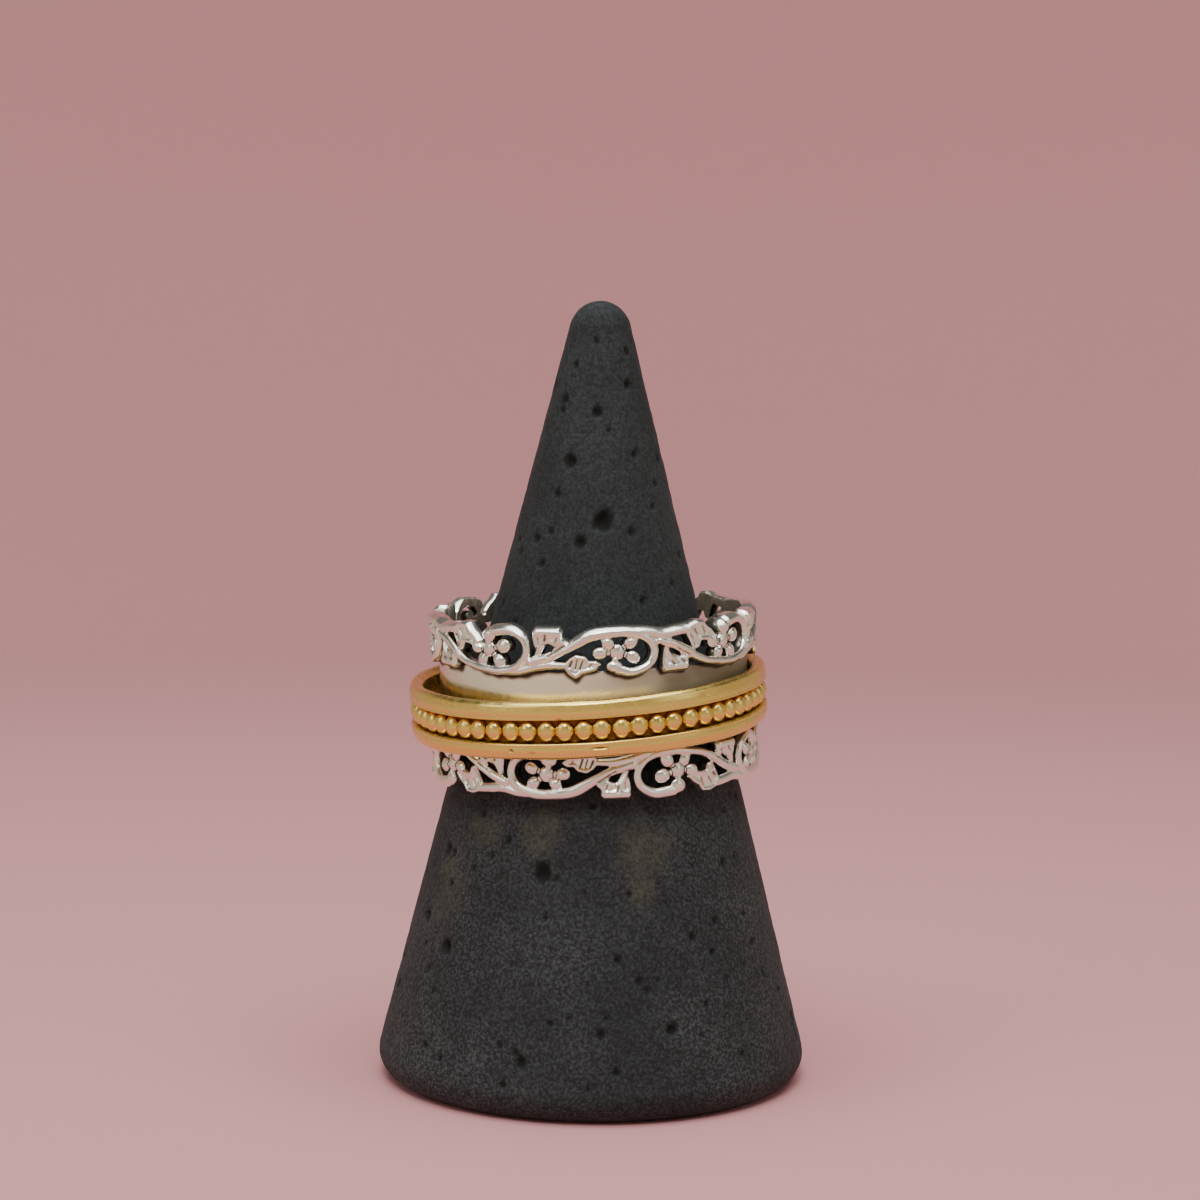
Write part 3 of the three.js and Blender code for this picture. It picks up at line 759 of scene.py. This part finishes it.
def makeSleeve():
    # a rounded rectangle of wall section, turned about Z; oxide stays in the corner by the vine and
    # is spread out below it as painted shade, and a painted dark reflection lies over the
    # front-right
    turn = np.linspace(0, np.pi / 2, 6)
    outer, edge = sleeve["outerRadius"], sleeve["edge"]
    middle = (sleeve["innerRadius"] + outer) / 2
    halfWide, halfHigh = outer - middle - edge, sleeve["halfHeight"] - edge
    corners = []
    for quarter, (sideX, sideZ) in enumerate(((1, 1), (-1, 1), (-1, -1), (1, -1))):
        angle = turn + quarter * np.pi / 2
        corners.append(np.stack([middle + sideX * halfWide + edge * np.cos(angle),
                                 sideZ * halfHigh + edge * np.sin(angle)], axis=-1))
    fine = np.arange(sleeve["fineFrom"], halfHigh, sleeve["fineStep"])
    coarse = np.linspace(-sleeve["coarseTo"], sleeve["coarseTo"], sleeve["coarseRows"])
    heights = np.concatenate([-fine[::-1], coarse, fine])
    face = np.stack([0 * heights + outer, heights], axis=-1)
    section = np.concatenate(corners + [face])
    points = turnedSection(section, sleeve["columns"])
    radius, height = np.hypot(points[:, 0], points[:, 1]), points[:, 2].copy()
    turned = np.degrees(np.arctan2(points[:, 0], -points[:, 1]))
    oxide = np.zeros(len(points))
    # oxide in the corner by each border, full to 0.15 mm from the vine's outline and fading out to
    # 0.4 mm as painted shade under it
    for _, side, flowerDegrees, _ in vine["borders"]:
        near = (height * side > sleeve["oxideShadeAbove"]) & (radius > outer - 0.1)
        places = np.stack([(turned[near] - flowerDegrees) * side,
                           height[near] * side - vine["midHeight"]], axis=-1)
        gap = 0.05 * waveNoise(points[near], 1.1, 71) - vineField(flat(places))[0]
        oxide[near] = 1 - smoothStep(sleeve["oxideShadeFrom"], sleeve["oxideShadeTo"], gap)
    # painted reflection: the spinner's dark inside, as the sleeve would mirror it, painted over the
    # front-right of the outside face
    film = (smoothStep(*sleeve["paintedReflectionComes"], turned + 6 * waveNoise(points, 3, 72))
            * (1 - smoothStep(*sleeve["paintedReflectionGoes"], turned)))
    outside = smoothStep(outer - 0.2, outer - 0.05, radius)
    oxide = np.maximum(oxide, sleeve["paintedReflectionDark"] * film * outside)
    worn = outside * sleeve["handWorn"] * (1 + waveNoise(points, 4.5, 3))
    points[:, :2] *= (1 - worn / radius)[:, None]
    quads = gridQuads(len(section), sleeve["columns"], closedRows=True)
    piece = makePiece("silverSleeve", seated(points, band), quads, {"patinaAndShade": oxide})
    dress(piece, handPolished("polished silver", sleeveFinish), "stand", "silver_band")


makeSleeve()
vineSilver, sheet = oxidisedSilver(), vineSheet()
for border in vine["borders"]:
    makeVine(*border, sheet, vineSilver)

spinner = {
    "centre": (-0.42, -0.25, 22.6), "aboutX": 2.8, "aboutY": -4.2, "columns": 600,
    "innerRadius": 9.65, "outerRadius": 10.55, "halfHeight": 1.67,
    "outerEdge": 0.33, "innerEdge": 0.44, "faceDome": 0.045, "lipEdge": 0.1, "footEdge": 0.12,
    "upperFrom": 0.62, "lowerFrom": 0.7, "grooveRadius": 10.0, "wavy": 0.02,
    "beads": 60, "beadRadius": 10.03, "firstBeadDegrees": -1.3, "beadDrop": 0.04,
    "beadHalves": (0.55, 0.5, 0.63), "beadRows": 18, "beadColumns": 28,
    # how much the beads differ: in turn (radians), size (share) and height (mm)
    "beadTurnSpread": 0.0025, "beadSizeSpread": 0.018, "beadHeightSpread": 0.012,
}

bandDents = np.array([
    # turn, height, half length, half height, depth
    (-24.5, -1.08, 0.14, 0.13, 0.18), (3.5, -1.04, 0.6, 0.07, 0.16),
    (-17.5, -1.25, 0.3, 0.16, 0.05), (-8.5, 0.66, 0.25, 0.12, 0.08),
    (40, 1.2, 0.5, 0.1, 0.04), (118, -1.0, 0.4, 0.1, 0.08),
    (-140, 1.05, 0.3, 0.12, 0.07), (170, -1.15, 0.2, 0.2, 0.08),
])


def roundedCorner(centre, radius, fromTurn, toTurn, count):
    # an arc round a corner's centre; the turns are in quarter circles
    angle = np.linspace(fromTurn, toTurn, count) * np.pi / 2
    return centre + radius * np.stack([np.cos(angle), np.sin(angle)], axis=-1)


def bandSection(start):
    # half of the spinner's section from the groove outwards, with the band's edge at the height
    # start, and its face slightly domed
    top, outer, inner = spinner["halfHeight"], spinner["outerRadius"], spinner["innerRadius"]
    edge, innerEdge, dome = spinner["outerEdge"], spinner["innerEdge"], spinner["faceDome"]
    groove, lip, foot = spinner["grooveRadius"], spinner["lipEdge"], spinner["footEdge"]
    share = np.linspace(-1, 1, 12)[1:-1]
    middle, half = (start + lip + top - edge) / 2, (top - edge - start - lip) / 2
    return np.concatenate([
        [(groove, 0.15), (groove, start - 0.2)],
        roundedCorner((groove + foot, start - foot), foot, 2, 1, 4),
        [(groove + 0.25, start)],
        roundedCorner((outer - lip, start + lip), lip, -1, 0, 6),
        np.stack([outer - dome * share ** 2, middle + half * share], axis=-1),
        roundedCorner((outer - dome - edge, top - edge), edge, 0, 1, 9),
        roundedCorner((inner + innerEdge, top - innerEdge), innerEdge, 1, 2, 8),
    ])


def makeBands():
    # the section turned about Z, pushed in by the dents and a slight hand-worked waviness
    upper, lower = bandSection(spinner["upperFrom"]), bandSection(spinner["lowerFrom"])
    section = np.concatenate([upper, lower[::-1] * (1, -1)])
    points = turnedSection(section, spinner["columns"])
    radius, height = np.hypot(points[:, 0], points[:, 1]), points[:, 2].copy()
    turn = np.arctan2(points[:, 0], -points[:, 1])
    outside = smoothStep(10.1, 10.4, radius)
    push = spinner["wavy"] * (1 + waveNoise(points, 2.2, 61)) * outside
    mark = np.zeros(len(points))
    for degrees, dentHeight, halfLong, halfHigh, depth in bandDents:
        along = (turn - math.radians(degrees) + np.pi) % (2 * np.pi) - np.pi
        share = np.hypot(along * spinner["outerRadius"] / halfLong,
                         (height - dentHeight) / halfHigh)
        well = (1 - smoothStep(0.2, 1.1, share)) * outside
        push += well * depth
        mark = np.maximum(mark, well * min(1, depth * 6))
    # the rims run slightly up and down
    wave = spinner["wavy"] * (1 + waveNoise(points * (1, 1, 0), 5, 62))
    points -= points * (1, 1, 0) * (push / radius)[:, None]
    points[:, 2] -= np.sign(height) * smoothStep(1.0, 1.5, np.abs(height)) * wave
    # tarnish stays in the groove and in the dents
    groove = ((1 - smoothStep(10.12, 10.45, radius))
              * (1 - smoothStep(0.66, 0.78, np.abs(height + spinner["beadDrop"]))))
    quads = gridQuads(len(section), spinner["columns"], closedRows=True)
    piece = makePiece("spinnerBands", seated(points, spinner), quads[:, ::-1],
                      {"patinaAndShade": np.maximum(groove, mark)})
    dress(piece, handPolished("worn gold band", goldFinish), "spinner", "gold_spinner")


def makeBeads():
    # each bead is a slightly flattened ball: a grid of latitude and longitude, with its poles up
    # and down, set round the groove
    rows, columns, count = spinner["beadRows"], spinner["beadColumns"], spinner["beads"]
    latitude = np.linspace(-np.pi / 2, np.pi / 2, rows + 2)[1:-1]
    half = np.stack([np.cos(latitude), np.sin(latitude)], axis=-1)
    ball = np.concatenate([turnedSection(half, columns), [(0, 0, -1), (0, 0, 1)]])
    around = np.arange(columns)
    following, last, pole = (around + 1) % columns, (rows - 1) * columns, rows * columns
    caps = np.concatenate([
        np.stack([0 * around + pole, following, around], axis=1),
        np.stack([last + around, last + following, 0 * around + pole + 1], axis=1)])
    index = np.arange(count)
    turn = (np.radians(spinner["firstBeadDegrees"]) + index / count * 2 * np.pi
            + draws.normal(0, spinner["beadTurnSpread"], count))
    sizes = np.array(spinner["beadHalves"]) * (
        1 + draws.normal(0, spinner["beadSizeSpread"], (count, 3)))
    local = ball[None] * sizes[:, None, :] + (0, -spinner["beadRadius"], 0)
    cosine, sine = np.cos(turn)[:, None], np.sin(turn)[:, None]
    rises = draws.normal(0, spinner["beadHeightSpread"], count)
    points = np.stack([local[:, :, 0] * cosine - local[:, :, 1] * sine,
                       local[:, :, 0] * sine + local[:, :, 1] * cosine,
                       local[:, :, 2] - spinner["beadDrop"] + rises[:, None]],
                      axis=-1).reshape(-1, 3)
    shift = (index * len(ball))[:, None, None]
    quads = (gridQuads(rows, columns)[None] + shift).reshape(-1, 4)
    triangles = (caps[None] + shift).reshape(-1, 3)
    # handling keeps the beads' outer tops bright
    tarnish = 0.7 - 0.7 * smoothStep(9.95, 10.22, np.hypot(points[:, 0], points[:, 1]))
    piece = makePiece("spinnerBeads", seated(points, spinner), quads, {"patinaAndShade": tarnish},
                      triangles)
    dress(piece, handPolished("worn gold bead", beadFinish), "spinner", "gold_spinner")


makeBands()
makeBeads()

studio = {
    "floorColour": linearColour("#c98f91"), "frontColour": linearColour("#bbae9f"),
    "paperEdge": 0.045, "fade": 0.07, "paperSpread": 0.4, "roughness": 0.95,
    "flatRadius": 0.2, "curveRadius": 0.16, "wallHeight": 0.2,
    "worldColour": linearColour("#f5f1ea"), "worldStrength": 0.14,
    "lamps": (
        # name, size across, power in watts, place; each points at aim
        ("topSoftbox", 0.42, 1.62, (0.0, -0.06, 0.33)),
        ("frontKey", 0.08, 0.3, (-0.02, -0.22, 0.3)),
        ("leftFill", 0.22, 0.2, (-0.26, -0.16, 0.2)),
        ("rightFill", 0.22, 0.1, (0.26, -0.14, 0.18)),
    ),
    "aim": (0, 0, 0.023),
}


def mattPaper():
    # uncoated paper, quite matt: pink under and behind the cone, where it reaches further out
    # the further back it is, and fading into pale grey in front and at the sides
    material = newMaterial("matt paper")[0]
    place = addNode(material, "TexCoord", {})["Object"]
    axes = addNode(material, "SeparateXYZ", {"Vector": place})
    ahead, behind = (addNode(material, "Math", {"operation": kind, 0: axes["Y"], 1: 0.0})[0]
                     for kind in ("MINIMUM", "MAXIMUM"))
    reach = addNode(material, "CombineXYZ", {"X": axes["X"], "Y": ahead})[0]
    reach = addNode(material, "VectorMath", {"operation": "LENGTH", 0: reach})["Value"]
    beside = addNode(material, "Math", {
        "operation": "MULTIPLY_ADD", 0: behind, 1: -studio["paperSpread"], 2: reach})[0]
    away = addNode(material, "MapRange", {
        "Value": beside, "From Min": studio["paperEdge"],
        "From Max": studio["paperEdge"] + studio["fade"]})[0]
    colour = addNode(material, "Mix", {
        "data_type": "RGBA", 0: away, 6: studio["floorColour"], 7: studio["frontColour"]})[2]
    shader = addNode(material, "BsdfPrincipled", {
        "Base Color": colour, "Roughness": studio["roughness"]})[0]
    addNode(material, "OutputMaterial", {"Surface": shader})
    return material


def makeStage():
    # a flat disc whose rim curves up into a wall, turned about Z
    flatRadius, curveRadius, columns = studio["flatRadius"], studio["curveRadius"], 96
    curve = np.linspace(0, np.pi / 2, 24)[1:]
    flatPart = np.stack([np.linspace(0.01, flatRadius, 8), np.zeros(8)], axis=-1)
    bend = np.stack([flatRadius + curveRadius * np.sin(curve),
                     curveRadius * (1 - np.cos(curve))], axis=-1)
    wall = np.array([(flatRadius + curveRadius, studio["wallHeight"])])
    profile = np.concatenate([flatPart, bend, wall]) / mm
    points = np.concatenate([turnedSection(profile, columns), [(0, 0, 0)]])
    index = np.arange(columns)
    centre = np.stack([0 * index + len(points) - 1, index, (index + 1) % columns], axis=1)
    floor = makePiece("floor", points, gridQuads(len(profile), columns), {}, centre)
    floor.data.materials.append(mattPaper())


def addLamp(name, size, power, place):
    # a round soft lamp that points at the middle of the ring
    light = bpy.data.lights.new(name, "AREA")
    light.shape, light.size, light.energy = "DISK", size, power
    lamp = bpy.data.objects.new(name, light)
    bpy.context.scene.collection.objects.link(lamp)
    lamp.location = place
    across, back, above = np.array(place) - studio["aim"]
    lamp.rotation_euler = (math.atan2(math.hypot(across, back), above), 0,
                           math.atan2(across, -back))


makeStage()
for lamp in studio["lamps"]:
    addLamp(*lamp)

world = bpy.data.worlds.new("studio")
bpy.context.scene.world = world
world.use_nodes = True
glow = world.node_tree.nodes["Background"].inputs
glow[0].default_value, glow[1].default_value = studio["worldColour"], studio["worldStrength"]

view = {"place": (0.00019, -0.17, 0.04523), "down": 5.68, "roll": 0.775, "lens": 86.8}
cameraData = bpy.data.cameras.new("camera")
cameraData.sensor_width, cameraData.lens = 36, view["lens"]
cameraData.clip_start, cameraData.clip_end = 0.01, 5
camera = bpy.data.objects.new("camera", cameraData)
bpy.context.scene.collection.objects.link(camera)
camera.location = view["place"]
aimed = Matrix.Rotation(math.radians(90 - view["down"]), 4, "X")
camera.rotation_euler = (aimed @ Matrix.Rotation(math.radians(view["roll"]), 4, "Z")).to_euler()
bpy.context.scene.camera = camera
print("stage, lights and camera placed")
